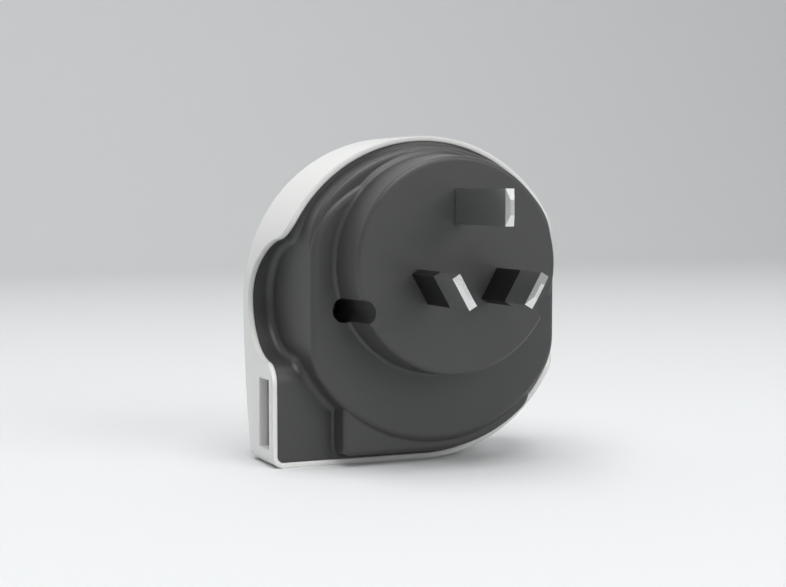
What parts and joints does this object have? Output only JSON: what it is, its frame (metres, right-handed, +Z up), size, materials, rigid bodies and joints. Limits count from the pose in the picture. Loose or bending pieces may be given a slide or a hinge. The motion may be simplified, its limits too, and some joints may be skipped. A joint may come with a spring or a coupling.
{
  "type": "usb travel adapter",
  "caption": "Travel adapter with an angled flat-blade earthed plug on a dark stepped base, a white domed cover holding a multi-way socket, and a USB charging port in its square lower corner.",
  "frame": {"origin": "middle of the pin pattern, on the front of the plug face", "axes": "+Y runs from the plug face back to the socket, +Z up towards the earth pin, +X to the right seen from the plug side"},
  "size_m": [0.0608, 0.0544, 0.0608],
  "materials": {
    "dark_plastic": "satin moulded",
    "white_plastic": "glossy moulded",
    "black_plastic": "satin moulded",
    "nickel": "bright nickel plate",
    "contact_strip": "stamped sheet",
    "steel": "plated",
    "board": "lacquered laminate",
    "ferrite": "sintered",
    "tape": "taped",
    "can": "sleeved can",
    "chip": "moulded",
    "resistor": "lacquered"
  },
  "bodies": {
    "root": {"plug_base": "dark_plastic", "socket_plate": "dark_plastic", "rear_cover": "white_plastic", "pin_carrier": "black_plastic", "active_sleeve": "black_plastic", "neutral_sleeve": "black_plastic", "usb_tongue": "black_plastic", "earth_pin": "nickel", "active_pin": "nickel", "neutral_pin": "nickel", "earth_contact": "contact_strip", "active_contact": "contact_strip", "neutral_contact": "contact_strip", "usb_contacts": "contact_strip", "usb_shell": "steel", "case_screws": "steel", "circuit_board": "board", "transformer_core": "ferrite", "transformer_winding": "tape", "input_capacitor": "can", "output_capacitor": "can", "bridge_rectifier": "chip", "control_chip": "chip", "fusible_resistor": "resistor"}
  },
  "joints": []
}
